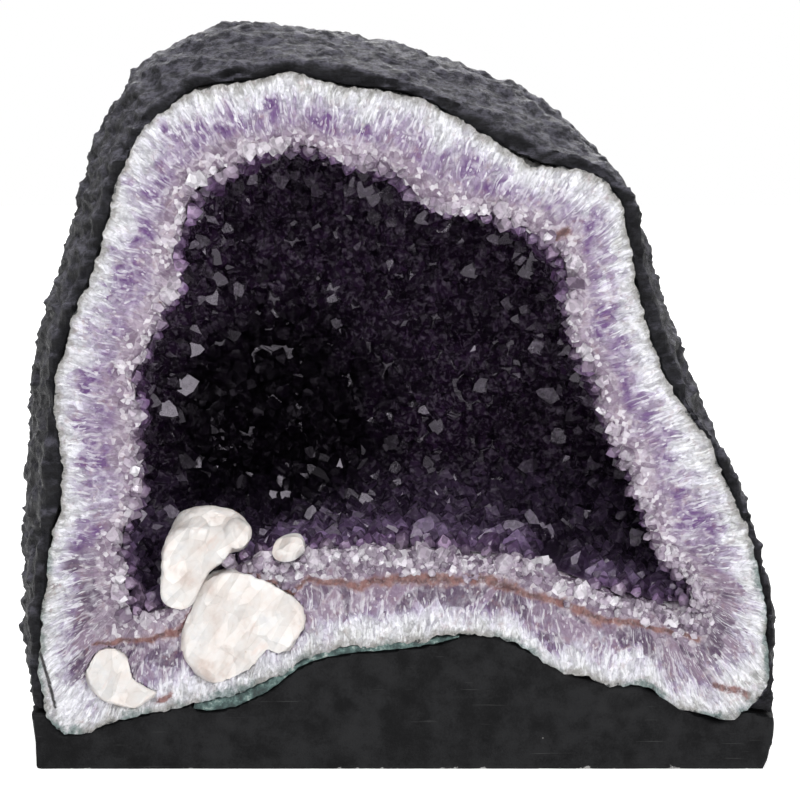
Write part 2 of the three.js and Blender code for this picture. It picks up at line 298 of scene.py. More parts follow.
def basalt_paint():
    material, tree, surface = new_material("painted_basalt")
    place = own_place(tree)
    grain = grained(tree, place, 1.1 * MM, 0.012)
    flakes = cells(tree, place, 5 * MM, "SMOOTH_F1")
    scaly = speckle(tree, place, 3.0 * MM, 8.0, 0.84, stretch=(0.5, 0.5, 1))
    dark = mixed(tree, between(tree, grain["Shade"], 0.6, 1.25), (0.0028, 0.0028, 0.0032), (0.0095, 0.0097, 0.0112))
    rubbed = between(tree, speckle(tree, place, 9 * MM, 6.0, 0.65), 0.52, 0.72)
    dark = mixed(tree, sums(tree, "MULTIPLY", rubbed, 0.5), dark, (0.024, 0.0245, 0.029))
    # Painted sheen: faces turned upwards are lightened to a bluish grey in a scaly pattern, standing in for light from
    # above
    facing_up = add(tree, "SeparateXYZ", {0: add(tree, "NewGeometry").outputs["Normal"]}).outputs[2]
    dust_and_sheen = sums(tree, "MULTIPLY", between(tree, facing_up, 0.0, 0.85, 0.10, 1.0), between(tree, scaly, 0.44, 0.58, 0.22, 1.0))
    dark = mixed(tree, dust_and_sheen, dark, (0.235, 0.228, 0.285))
    dark = mixed(tree, grain["Speck"], dark, (0.40, 0.40, 0.41))
    relief = sums(tree, "ADD", grain["Height"], sums(tree, "MULTIPLY", flakes.outputs["Distance"], 1.6))
    relief = sums(tree, "ADD", relief, sums(tree, "MULTIPLY", scaly, 6.5))
    connect(
        tree, surface, colour=dark,
        roughness=between(tree, grain["Shade"], 0.5, 1.3, 0.52, 0.30),
        normal=raised(tree, relief, 1.3 * MM),
    )
    surface.inputs["Specular IOR Level"].default_value = 0.26
    return material


rind = fine_copy("basalt_rind", "basalt_skin", RIND_MESH, smooth=3)
places, normals = points_of(rind)
behind = places[:, 1] - sawn_y(places[:, 2])
away = places - np.array(HUB + Vector((0, sawn_y(HUB.z) + 55 * MM, 0)))
facing_out = np.einsum("ij,ij->i", away, normals) > 0
weigh(rind, "outside", facing_out * (0.75 + 0.25 * rise(behind, 1.0 * MM, 8 * MM)))
weigh(rind, "hidden", (~facing_out & (behind > 4 * MM)) * 1.0)
thin = rind.modifiers.new("thin", "DECIMATE")
thin.ratio = 0.62
thin.vertex_group = "hidden"
thin.vertex_group_factor = 4.0
apply_modifiers(rind)
ripple = bpy.data.objects.new("ripple", None)
bpy.context.scene.collection.objects.link(ripple)
ripple.scale = (1.7, 1.7, 1.0)
displace(rind, "swells", "CLOUDS", 42 * MM, 6 * MM, "outside", noise_depth=1)
displace(rind, "picked", "CLOUDS", 8 * MM, 6.5 * MM, "outside", ripple, noise_depth=1)
displace(rind, "flaked", "CLOUDS", 5 * MM, 3.2 * MM, "outside", ripple, noise_depth=2, noise_basis="VORONOI_F2_F1")
bpy.data.objects.remove(ripple)
rind.data.materials.append(basalt_paint())
only(rind)
bpy.ops.object.shade_smooth_by_angle(angle=math.radians(50))
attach(rind, "root")
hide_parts("basalt_rind")


# ------------------------------------------------------------------ the celadonite seam
# The thin blue-green crust on which the quartz grew, seen where the foot meets the floor of the
# stone. Soft, crumbly and mottled.

def celadonite_paint():
    material, tree, surface = new_material("celadonite")
    place = own_place(tree)
    grain = grained(tree, place, 0.8 * MM, 0.03)
    patches = speckle(tree, place, 4 * MM, 5.0, 0.65)
    green = ramp(tree, patches, (
        (0.30, (0.010, 0.018, 0.018)), (0.46, (0.026, 0.052, 0.050)),
        (0.58, (0.085, 0.14, 0.13)), (0.70, (0.36, 0.40, 0.38)),
    ))
    connect(
        tree, surface, colour=mixed(tree, grain["Speck"], green, (0.6, 0.62, 0.6)), roughness=0.65,
        normal=raised(tree, patches, 1.2 * MM),
    )
    return material


seam = fine_copy("celadonite_seam", "celadonite_crust", 1.0 * MM)
displace(seam, "crumbly", "CLOUDS", 4 * MM, 1.0 * MM, noise_depth=2)
seam.data.materials.append(celadonite_paint())
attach(seam, "root")
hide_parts("celadonite_seam")


# ------------------------------------------------------------------ the quartz wall
# Quartz and pale amethyst, grown inwards from the rock as packed columns and sawn across at the
# front. White fibres next to the rock, violet hearts in the middle, a clear bubbly rim inside,
# and an iron-red line where growth stopped for a while across the floor.

AROUND = 1000
ROWS_ACROSS = 48
PROUD = 0.18 * MM # the quartz is left a hair proud of the softer rock by the saw
LIP_SET_BACK = 2.2 * MM # the rim crystals stand this far into the mouth
IRON_LINES = [  # x and z along each line, and its half width, in millimetres
    [
        (-134, 56, 0.8), (-120, 57, 0.8), (-106, 58, 1.3), (-96, 62, 1.8), (-88, 72, 1.3), (-84, 82, 0.8),
        (-72, 88.5, 0.8), (-58, 85.5, 0.8), (-46, 78.5, 1), (-40, 84, 1.6), (-28, 83.5, 1.8), (-18, 82, 2.4),
        (2, 85, 2.6), (22, 84.5, 2.4), (38, 84.5, 1.9), (48, 83, 2.1), (57, 78, 1.6), (68, 75.5, 1.2),
        (78, 73, 2.1), (88, 68, 3), (94, 66.5, 1.6), (104, 65, 0.8), (114, 63, 0.8), (128, 60, 1.1), (134, 57, 0.8),
    ],
    [(141, 38, 0.8), (146, 36, 2), (153, 35, 1.3), (156, 33, 0.8)],
    [(-81, 303, 1.9), (-76, 304, 1)], [(71, 235, 1.8), (75, 238, 1)],
    [(-105, 203, 0.6), (-104, 206, 0.4)], [(-105, 31, 1.6), (-101, 33, 0.8)],
]
CRACK = [(-157.5, 52, 0.4), (-154, 40, 0.7), (-151, 28, 0.5)]


def surface_of(*nodes):
    """The merged surface of some CAD nodes, for casting rays at."""
    corners, faces = [], []
    for name in nodes:
        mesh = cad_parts[name].data
        faces += [[len(corners) + i for i in face.vertices] for face in mesh.polygons]
        corners += [vertex.co for vertex in mesh.vertices]
    return bvhtree.BVHTree.FromPolygons(corners, faces)


def ring(surface, depth, inwards):
    """A surface's section at a depth behind the sawn face, by rays from the hub or towards it."""
    reach = 0.4
    found = []
    for i in range(AROUND):
        angle = 2 * math.pi * i / AROUND
        ray = Vector((math.cos(angle), SAWN_LEAN * math.sin(angle), math.sin(angle)))
        middle = Vector((HUB.x, sawn_y(HUB.z) + depth, HUB.z))
        hit = surface.ray_cast(middle + ray * reach, -ray) if inwards else surface.ray_cast(middle, ray)
        found.append(hit[0] if hit[0] is not None else found[-1])
    return np.array(found)


def bowl(surface, start, centre, count):
    """Rings over the inside of a hollow, from a starting ring to the back."""
    outset = start - centre
    outset /= np.linalg.norm(outset, axis=1, keepdims=True)
    angles = np.arccos(outset[:, 1:2])
    found = []
    for row in range(1, count):
        share = row / count
        first = np.sin((1 - share) * angles) / np.sin(angles)
        second = np.sin(share * angles) / np.sin(angles)
        rays = outset * first + np.array([0, 1, 0]) * second
        hits = [surface.ray_cast(Vector(centre), Vector(ray))[0] for ray in rays]
        found.append(np.array([hit if hit is not None else Vector(centre) for hit in hits]))
    return found


def resampled(loop, at):
    """A closed ring read at fractional places along it."""
    whole = np.floor(at).astype(int)
    share = (at - whole)[:, None]
    return loop[whole % AROUND] * (1 - share) + loop[(whole + 1) % AROUND] * share


def nearest_way(loop, other):
    """For each point of a ring, where on another ring the quartz columns from it end."""
    offsets = []
    for i, point in enumerate(loop):
        apart = np.linalg.norm(np.roll(other, AROUND // 2 - i, axis=0) - point, axis=1)
        offsets.append(int(apart[AROUND // 4: -AROUND // 4].argmin()) - AROUND // 4)
    steady = softened(np.array(offsets, dtype=float), 26)
    at = np.arange(AROUND) + steady
    for __ in range(400):
        squeezed = np.roll(at, -1) - at
        squeezed[-1] += AROUND
        if squeezed.min() > 0.2:
            break
        steady = softened(steady, 10)
        at = np.arange(AROUND) + steady
    return at


def softened(loop, width):
    """A closed ring of points, smoothed along its length."""
    spread = np.exp(-0.5 * (np.arange(-3 * width, 3 * width + 1) / width) ** 2)
    total = sum(w * np.roll(loop, k - 3 * width, axis=0) for k, w in enumerate(spread))
    return total / spread.sum()


def outward(loop):
    """The direction away from the hollow, in the sawn plane, at each point of a ring."""
    along = np.roll(loop, -4, axis=0) - np.roll(loop, 4, axis=0)
    away = np.stack([along[:, 2], np.zeros(len(loop)), -along[:, 0]], axis=1)
    return away / np.linalg.norm(away, axis=1, keepdims=True)


def ruffle(points, size, seed):
    """Noise from -1 to 1 at each point, with waves of this size."""
    return np.array([noise.fractal(Vector(p) / size + Vector((seed, 0, 0)), 0.9, 2.1, 3) for p in points])


def ring_skin(name, rows, tips):
    """A closed skin through rings of points, drawn to a tip at both ends."""
    count = len(rows[0])
    corners = np.concatenate([*rows, tips])
    faces = []
    for row in range(len(rows) - 1):
        near, far = row * count, (row + 1) * count
        faces += [(near + i, near + (i + 1) % count, far + (i + 1) % count, far + i) for i in range(count)]
    first, last = len(corners) - 2, len(corners) - 1
    end = (len(rows) - 1) * count
    faces += [((i + 1) % count, i, first) for i in range(count)]
    faces += [(end + i, end + (i + 1) % count, last) for i in range(count)]
    mesh = bpy.data.meshes.new(name)
    mesh.from_pydata(corners.tolist(), [], faces)
    piece = bpy.data.objects.new(name, mesh)
    bpy.context.scene.collection.objects.link(piece)
    only(piece)
    bpy.ops.object.mode_set(mode="EDIT")
    bpy.ops.mesh.select_all(action="SELECT")
    bpy.ops.mesh.normals_make_consistent(inside=False)
    bpy.ops.object.mode_set(mode="OBJECT")
    return piece


lining_surface = surface_of("quartz_lining", "calcite_block")
calcite_surface = surface_of("calcite_block", "calcite_nodule", "calcite_wedge", "calcite_chip")
edge_raw = softened(ring(lining_surface, 0.3 * MM, True), 3)
mouth_raw = softened(ring(lining_surface, 0.3 * MM, False), 3)
rough_edge = 0.2 * MM + 1.8 * MM * ruffle(edge_raw, 13 * MM, 3.0) + 0.9 * MM * ruffle(edge_raw, 3 * MM, 5.0)
edge = edge_raw + outward(edge_raw) * rough_edge[:, None]
scallops = 3.2 * MM * ruffle(mouth_raw, 21 * MM, 8.0) + 1.5 * MM * ruffle(mouth_raw, 7 * MM, 2.0)
mouth = mouth_raw + outward(mouth_raw) * (LIP_SET_BACK + scallops)[:, None]
way = nearest_way(edge_raw, mouth_raw)
mouth_end = resampled(mouth, way)
widths = np.linalg.norm(mouth_end - edge, axis=1)
steps = np.linalg.norm(np.roll(edge_raw, -1, axis=0) - edge_raw, axis=1)
turns = np.concatenate([[0], np.cumsum(steps)])[:AROUND] / steps.sum() * 2 * math.pi
girth = steps.sum() / (2 * math.pi)


def set_back(x, z):
    """How deep the quartz lies behind the sawn face, where calcite sits in it."""
    struck = calcite_surface.ray_cast(Vector((x, -1, z)), Vector((0, 1, 0)))[0]
    return 2.2 * MM if struck else 0.0


rows, shares = [], []
for depth in (158, 148, 130, 105, 75, 45, 22, 8):
    rows.append(ring(lining_surface, depth * MM, True))
    shares.append(0.0)
rows.append(edge + [0, 2.5 * MM, 0])
shares.append(0.0)
for row in range(ROWS_ACROSS + 1):
    share = row / ROWS_ACROSS
    flat = edge * (1 - share) + mouth_end * share
    bubbly = rise(share, 0.60, 0.85)
    lumps = np.array([noise.voronoi(Vector(p) / (6 * MM))[0][0] for p in flat])
    bumps = np.array([noise.voronoi(Vector(p) / (2.6 * MM))[0][0] for p in flat])
    lip = 3.0 * MM * max(0.0, (share - 0.84) / 0.16) ** 2
    flat[:, 1] = [sawn_y(z) + set_back(x, z) for x, z in flat[:, ::2]]
    flat[:, 1] += -PROUD + lip + bubbly * 2.0 * MM * lumps + (0.2 + bubbly * 0.4) * MM * bumps
    rows.append(flat)
    shares.append(share)
middle = np.array([-18 * MM, sawn_y(145 * MM) + 55 * MM, 145 * MM])
for depth in (5, 8, 13, 20):
    wall = resampled(ring(lining_surface, depth * MM, False), way)
    share = float(rise(depth, 2.0, 14.0))
    if depth < 14:
        wall[:, [0, 2]] = mouth_end[:, [0, 2]] * (1 - share) + wall[:, [0, 2]] * share
        wall[:, 1] = [sawn_y(z) + depth * MM for z in wall[:, 2]]
    rows.append(wall)
    shares.append(1.0)
wall_rows = bowl(lining_surface, rows[-1], middle, 16)
rows += wall_rows
shares += [1.0] * len(wall_rows)
tips = np.array([rows[0].mean(axis=0) + [0, 4 * MM, 0], rows[-1].mean(axis=0) + [0, 0.2 * MM, 0]])
lining = ring_skin("quartz_wall", rows, tips)


def drawn(lines, x, z, blur):
    """How near a place in the sawn face is to some drawn lines, 1 on them and 0 away from them."""
    best = 0.0
    for line in lines:
        for (ax, az, aw), (bx, bz, bw) in zip(line, line[1:]):
            start, run = Vector((ax, az)), Vector((bx - ax, bz - az))
            share = max(0.0, min(1.0, (Vector((x, z)) - start).dot(run) / run.length_squared))
            away = (Vector((x, z)) - start - run * share).length
            width = aw + (bw - aw) * share
            best = max(best, 1 - away / (width + blur))
    return best


# Where each point lies in the band: how far across it and its iron, and its place among the
# fibres, which are laid side by side round a cylinder as long as the band
growth = lining.data.color_attributes.new("growth", "FLOAT_COLOR", "POINT")
places, normals = points_of(lining)
values = np.zeros((len(places), 4))
fibre = np.zeros((len(places), 3))
for i, (x, y, z) in enumerate(places[:-2]):
    row, column = divmod(i, AROUND)
    wander = noise.noise_vector(Vector((x, y, z)) / (7 * MM)) * 1.6
    in_face = 0 < shares[row] < 1
    iron = drawn(IRON_LINES, x / MM + wander.x, z / MM + wander.z, 1.1) if in_face else 0.0
    crack = drawn([CRACK], x / MM, z / MM, 0.5) if in_face else 0.0
    values[i] = (shares[row], iron, rise(z / MM, 108, 86), crack)
    turn = turns[column]
    fibre[i] = (girth * math.cos(turn), girth * math.sin(turn), shares[row] * widths[column])
growth.data.foreach_set("color", values.ravel())
lining.data.attributes.new("fibres", "FLOAT_VECTOR", "POINT").data.foreach_set("vector", fibre.ravel())


def facet_group():
    """Broken crystal faces: flat cells, each tilted its own way. Place is in cells."""
    tree = bpy.data.node_groups.new("crystal_facets", "ShaderNodeTree")
    tree.interface.new_socket("Place", in_out="INPUT", socket_type="NodeSocketVector")
    for name in ("Height", "Tone", "Hue", "Edge", "Core"):
        tree.interface.new_socket(name, in_out="OUTPUT", socket_type="NodeSocketFloat")
    given = tree.nodes.new("NodeGroupInput")
    out = tree.nodes.new("NodeGroupOutput")
    place = given.outputs["Place"]
    cell = add(tree, "TexVoronoi", {"Vector": place, "Scale": 1.0}, feature="F1")
    border = add(tree, "TexVoronoi", {"Vector": place, "Scale": 1.0}, feature="DISTANCE_TO_EDGE")
    tilt = add(tree, "VectorMath", {0: cell.outputs["Color"], 1: (0.5, 0.5, 0.5)}, operation="SUBTRACT").outputs[0]
    offset = add(tree, "VectorMath", {0: place, 1: cell.outputs["Position"]}, operation="SUBTRACT").outputs[0]
    slope = add(tree, "VectorMath", {0: tilt, 1: offset}, operation="DOT_PRODUCT").outputs["Value"]
    kinds = add(tree, "SeparateColor", {0: cell.outputs["Color"]}).outputs
    height = sums(tree, "ADD", sums(tree, "MULTIPLY", slope, 2.0), sums(tree, "MULTIPLY", kinds[0], 0.4))
    tree.links.new(height, out.inputs["Height"])
    tree.links.new(kinds[1], out.inputs["Tone"])
    tree.links.new(kinds[2], out.inputs["Hue"])
    tree.links.new(between(tree, border.outputs["Distance"], 0.0, 0.09, 1.0, 0.0), out.inputs["Edge"])
    tree.links.new(cell.outputs["Distance"], out.inputs["Core"])
    return tree


crystal_facets = facet_group()


def faceted(tree, place, scale):
    """Facets of a size, or of a width and a length across the band."""
    scaled = add(tree, "VectorMath", {0: place, 1: scale}, operation="MULTIPLY").outputs[0]
    made = add(tree, "Group", node_tree=crystal_facets)
    tree.links.new(scaled, made.inputs["Place"])
    return made.outputs


def quartz_paint():
    material, tree, surface = new_material("banded_quartz")
    place = own_place(tree)
    parts = add(tree, "SeparateColor", {0: add(tree, "Attribute", attribute_name="growth").outputs["Color"]})
    across, iron, low = parts.outputs[0], parts.outputs[1], parts.outputs[2]
    straight = add(tree, "Attribute", attribute_name="fibres").outputs["Vector"]
    sway = add(tree, "TexNoise", {"Vector": place, "Scale": 1 / (15 * MM), "Detail": 2.0}).outputs["Color"]
    sway = add(tree, "VectorMath", {0: sway, 1: (0.5, 0.5, 0.5)}, operation="SUBTRACT").outputs[0]
    sway = add(tree, "VectorMath", {0: sway, 1: (6 * MM, 6 * MM, 7 * MM)}, operation="MULTIPLY").outputs[0]
    along_fibres = add(tree, "VectorMath", {0: straight, 1: sway}, operation="ADD").outputs[0]

    blade = faceted(tree, along_fibres, (1 / (3.4 * MM), 1 / (3.4 * MM), 1 / (7 * MM)))
    splinter = faceted(tree, along_fibres, (1 / (1.5 * MM), 1 / (1.5 * MM), 1 / (3.2 * MM)))
    needle = faceted(tree, along_fibres, (1 / (0.9 * MM), 1 / (0.9 * MM), 1 / (6 * MM)))
    column = faceted(tree, along_fibres, (1 / (9 * MM), 1 / (9 * MM), 1 / (12 * MM)))
    grit = faceted(tree, along_fibres, (1 / (0.8 * MM), 1 / (0.8 * MM), 1 / (1.5 * MM)))
    warp = add(tree, "VectorMath", {0: sway, "Scale": 0.7}, operation="SCALE").outputs[0]
    warped = add(tree, "VectorMath", {0: place, 1: warp}, operation="ADD").outputs[0]
    bubble = faceted(tree, warped, (1 / (5.5 * MM),) * 3)
    chip = faceted(tree, place, (1 / (2.0 * MM),) * 3)

    # How far the white quartz reaches into the violet
    reach = sums(tree, "MULTIPLY", sums(tree, "SUBTRACT", blade["Tone"], 0.5), 0.15)
    reach = sums(tree, "ADD", reach, sums(tree, "MULTIPLY", sums(tree, "SUBTRACT", splinter["Tone"], 0.5), 0.06))
    reach = sums(tree, "ADD", reach, sums(tree, "MULTIPLY", sums(tree, "SUBTRACT", column["Hue"], 0.5), 0.20))
    broad = sums(tree, "MULTIPLY", sums(tree, "SUBTRACT", speckle(tree, place, 22 * MM, 2.0), 0.5), 0.60)
    reach = sums(tree, "ADD", reach, broad)
    along = sums(tree, "ADD", across, reach)
    colour = ramp(tree, along, (
        (0.00, (0.44, 0.44, 0.44)), (0.06, (0.60, 0.60, 0.625)), (0.22, (0.575, 0.57, 0.625)),
        (0.34, (0.40, 0.365, 0.46)), (0.48, (0.275, 0.215, 0.325)), (0.66, (0.235, 0.175, 0.275)),
        (0.80, (0.27, 0.205, 0.285)), (1.00, (0.31, 0.25, 0.31)),
    ))
    for facets, low_shade, high_shade in ((splinter, 0.80, 1.12), (blade, 0.78, 1.12), (grit, 0.80, 1.12)):
        shade = between(tree, facets["Hue"], 0.0, 1.0, low_shade, high_shade)
        grey = add(tree, "CombineColor", {0: shade, 1: shade, 2: shade}).outputs[0]
        colour = mixed(tree, between(tree, along, 0.30, 0.50, 0.95, 0.65), colour, grey, "MULTIPLY")

    # Violet hearts along the middle of the band, each fading outwards
    zone = sums(tree, "MULTIPLY", between(tree, along, 0.28, 0.44), between(tree, across, 0.90, 0.66))
    heart = between(tree, speckle(tree, along_fibres, 11 * MM, 2.0, 0.45), 0.47, 0.62)
    heart = sums(tree, "MULTIPLY", sums(tree, "MULTIPLY", heart, between(tree, column["Core"], 0.85, 0.45)), zone)
    colour = mixed(tree, sums(tree, "MULTIPLY", heart, 0.95, clamp=True), colour, (0.105, 0.042, 0.160))
    lens = sums(tree, "MULTIPLY", between(tree, blade["Core"], 0.60, 0.44), between(tree, blade["Hue"], 0.60, 0.68))
    lens = sums(tree, "MULTIPLY", lens, sums(tree, "MULTIPLY", zone, between(tree, across, 0.82, 0.66)))
    colour = mixed(tree, sums(tree, "MULTIPLY", lens, 0.72), colour, (0.085, 0.030, 0.135))
    under_iron = sums(tree, "MULTIPLY", sums(tree, "MULTIPLY", low, between(tree, along, 0.34, 0.5)), 0.85)
    colour = mixed(tree, under_iron, colour, mixed(tree, between(tree, column["Tone"], 0.2, 0.8), (0.060, 0.032, 0.065), (0.215, 0.155, 0.215)))

    # Pale lines between the columns, and white needles thinning out inwards
    broken = between(tree, speckle(tree, place, 4 * MM, 3.0), 0.42, 0.62)
    lined = sums(tree, "MULTIPLY", sums(tree, "MULTIPLY", column["Edge"], broken), between(tree, across, 0.2, 0.4))
    colour = mixed(tree, sums(tree, "MULTIPLY", lined, 0.35), colour, (0.78, 0.76, 0.82))
    thin = sums(tree, "MULTIPLY", between(tree, needle["Tone"], 0.76, 0.94), between(tree, along, 0.85, 0.22, 0.10, 0.6))
    colour = mixed(tree, thin, colour, (0.82, 0.82, 0.85))
    gap = sums(tree, "MULTIPLY", between(tree, needle["Tone"], 0.16, 0.04), between(tree, along, 0.7, 0.2, 0.15, 0.4))
    colour = mixed(tree, gap, colour, (0.20, 0.185, 0.225))
    # Painted glints: sparse white specks over the quartz face
    glints = sums(tree, "MULTIPLY", between(tree, grit["Tone"], 0.92, 0.98), 0.40)
    colour = mixed(tree, glints, colour, (0.90, 0.89, 0.92))
    milky = sums(tree, "MULTIPLY", between(tree, speckle(tree, warped, 6 * MM, 4.0, 0.6), 0.50, 0.68), between(tree, along, 0.9, 0.5))
    colour = mixed(tree, sums(tree, "MULTIPLY", milky, 0.4), colour, (0.66, 0.65, 0.70))

    # The clear crystals of the inner rim
    rim = between(tree, sums(tree, "ADD", across, sums(tree, "MULTIPLY", broad, 0.4)), 0.64, 0.82)
    clear = ramp(tree, bubble["Tone"], (
        (0.0, (0.12, 0.080, 0.125)), (0.35, (0.225, 0.17, 0.235)), (0.7, (0.36, 0.30, 0.365)), (1.0, (0.62, 0.58, 0.64)),
    ))
    colour = mixed(tree, sums(tree, "MULTIPLY", rim, 0.7), colour, clear)
    glassy = sums(tree, "MULTIPLY", between(tree, chip["Hue"], 0.55, 0.95), rim)
    colour = mixed(tree, sums(tree, "MULTIPLY", glassy, 0.6), colour, (0.115, 0.07, 0.12))
    # Painted highlights: white patches on the clear rim crystals
    rim_highlight = sums(tree, "MULTIPLY", between(tree, chip["Tone"], 0.72, 0.9), rim)
    colour = mixed(tree, sums(tree, "MULTIPLY", rim_highlight, 0.6), colour, (0.80, 0.77, 0.81))
    outline = sums(tree, "MULTIPLY", sums(tree, "MULTIPLY", bubble["Edge"], broken), rim)
    colour = mixed(tree, sums(tree, "MULTIPLY", outline, 0.25), colour, (0.80, 0.78, 0.82))

    # Iron along the floor, bleeding into the violet below it
    ragged_iron = sums(tree, "MULTIPLY", sums(tree, "SUBTRACT", speckle(tree, place, 4 * MM, 5.0, 0.72), 0.5), 1.9)
    rusty = sums(tree, "ADD", iron, sums(tree, "ADD", ragged_iron, sums(tree, "MULTIPLY", bubble["Tone"], 0.2)))
    colour = mixed(tree, between(tree, rusty, 0.10, 0.70, 0.0, 0.55), colour, (0.24, 0.125, 0.125))
    deep_red = mixed(tree, between(tree, speckle(tree, place, 4 * MM, 4.0, 0.65), 0.38, 0.64), (0.060, 0.021, 0.023), (0.225, 0.105, 0.095))
    colour = mixed(tree, between(tree, rusty, 0.48, 0.85, 0.0, 0.9), colour, deep_red)

    # The outer edge against the rock: greenish along the floor, grey elsewhere
    crumbs = sums(tree, "MULTIPLY", sums(tree, "SUBTRACT", speckle(tree, place, 5 * MM, 5.0, 0.7), 0.5), 0.36)
    ragged = sums(tree, "ADD", across, crumbs)
    mossy = sums(tree, "MULTIPLY", low, between(tree, speckle(tree, place, 24 * MM, 2.0), 0.42, 0.56))
    skin = mixed(tree, mossy, (0.19, 0.182, 0.168), (0.050, 0.100, 0.092))
    colour = mixed(tree, between(tree, ragged, 0.11, 0.0, 0.0, 0.8), colour, skin)
    colour = mixed(tree, between(tree, ragged, 0.0, -0.04), colour, (0.022, 0.025, 0.026))

    crack = add(tree, "Attribute", attribute_name="growth").outputs["Alpha"]
    colour = mixed(tree, between(tree, crack, 0.1, 0.6), colour, (0.020, 0.018, 0.020))

    near_rim = sums(tree, "MULTIPLY", bubble["Height"], sums(tree, "MULTIPLY", rim, 2.2))
    in_blades = between(tree, across, 0.9, 0.5)
    relief = sums(tree, "ADD", sums(tree, "MULTIPLY", blade["Height"], sums(tree, "MULTIPLY", in_blades, 0.8)), near_rim)
    relief = sums(tree, "ADD", relief, sums(tree, "MULTIPLY", column["Height"], sums(tree, "MULTIPLY", in_blades, 2.0)))
    relief = sums(tree, "ADD", relief, sums(tree, "MULTIPLY", splinter["Height"], 0.42))
    relief = sums(tree, "ADD", relief, sums(tree, "MULTIPLY", chip["Height"], 0.8))
    relief = sums(tree, "ADD", relief, sums(tree, "MULTIPLY", grit["Height"], 0.22))
    connect(
        tree, surface, colour=colour,
        roughness=between(tree, splinter["Tone"], 0.0, 1.0, 0.42, 0.18),
        normal=raised(tree, relief, 0.55 * MM),
    )
    surface.inputs["Subsurface Weight"].default_value = 0.10
    surface.inputs["Subsurface Radius"].default_value = (1.0, 0.9, 1.0)
    surface.inputs["Subsurface Scale"].default_value = 1.5 * MM
    return material


lining.data.materials.append(quartz_paint())
only(lining)
bpy.ops.object.shade_smooth_by_angle(angle=math.radians(35))
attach(lining, "root")
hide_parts("quartz_lining")


# ------------------------------------------------------------------ the amethyst druse
# Thousands of small six-sided amethyst points on a thin bed, growing from the quartz wall into
# the hollow: pale and pinkish round the mouth, dark violet behind, and darker still with depth
# as painted shade. Each shows three broad faces of its point and three narrow ones.

POINT_SLOPE = math.radians(38.2)  # how steeply a quartz point's faces fall away
DRUSE_START = 7 * MM  # depth behind the sawn face where the dark crystals begin
DRUSE_SPACING = 5.4 * MM
RIM_CRYSTALS = 760
FLOOR_RIM_CRYSTALS = 420
CLEAR_CRYSTALS = [(-46, 86, 5.2), (-60, 92, 4.4), (-37, 90, 3.8), (-74, 93, 3.6), (103, 72, 5.0)]  # x, z and radius, mm

random.seed(11)


def point_shape():
    """One six-sided crystal of unit radius, cut from a prism by its six end faces."""
    bpy.ops.mesh.primitive_cylinder_add(vertices=6, radius=1.0, depth=4.0, location=(0, 0, 0), end_fill_type="NGON")
    shape = bpy.context.object
    bpy.ops.object.mode_set(mode="EDIT")
    bpy.ops.mesh.select_all(action="SELECT")
    bpy.ops.transform.resize(value=(1.0, random.uniform(0.8, 1.0), 1.0))
    for side in range(6):
        turn = math.radians(60 * side + 30)
        lift = random.uniform(0.0, 0.12) if side % 2 else random.uniform(0.22, 0.5)
        normal = Vector((math.cos(turn) * math.cos(POINT_SLOPE), math.sin(turn) * math.cos(POINT_SLOPE), math.sin(POINT_SLOPE)))
        bpy.ops.mesh.select_all(action="SELECT")
        bpy.ops.mesh.bisect(plane_co=(0, 0, 0.9 + lift), plane_no=normal, use_fill=True, clear_outer=True)
    bpy.ops.mesh.select_all(action="SELECT")
    bpy.ops.mesh.bisect(plane_co=(0, 0, -0.9), plane_no=(0, 0, -1), use_fill=True, clear_outer=True)
    bpy.ops.mesh.select_all(action="SELECT")
    bpy.ops.mesh.remove_doubles(threshold=0.01)
    bpy.ops.mesh.normals_make_consistent(inside=False)
    bpy.ops.object.mode_set(mode="OBJECT")
    corners = np.array([vertex.co for vertex in shape.data.vertices])
    faces = [list(face.vertices) for face in shape.data.polygons]
    bpy.data.meshes.remove(shape.data)
    return corners, faces


def crystal_bank(name, shapes, seats):
    """One piece of many crystals. A seat is (place, direction, radius, length)."""
    corners, faces, tones = [], [], []
    for place, direction, radius, length in seats:
        points, sides = random.choice(shapes)
        turned = direction.to_track_quat("Z", "Y").to_matrix() @ Matrix.Rotation(random.uniform(0, math.tau), 3, "Z")
        scaled = (points * [radius, radius, radius * length]) @ np.array(turned).T + np.array(place)
        faces += [[len(corners) + i for i in side] for side in sides]
        corners += scaled.tolist()
        tones += [random.random()] * len(points)
    mesh = bpy.data.meshes.new(name)
    mesh.from_pydata(corners, [], faces)
    mesh.attributes.new("tone", "FLOAT", "POINT").data.foreach_set("value", tones)
    piece = bpy.data.objects.new(name, mesh)
    bpy.context.scene.collection.objects.link(piece)
    return piece


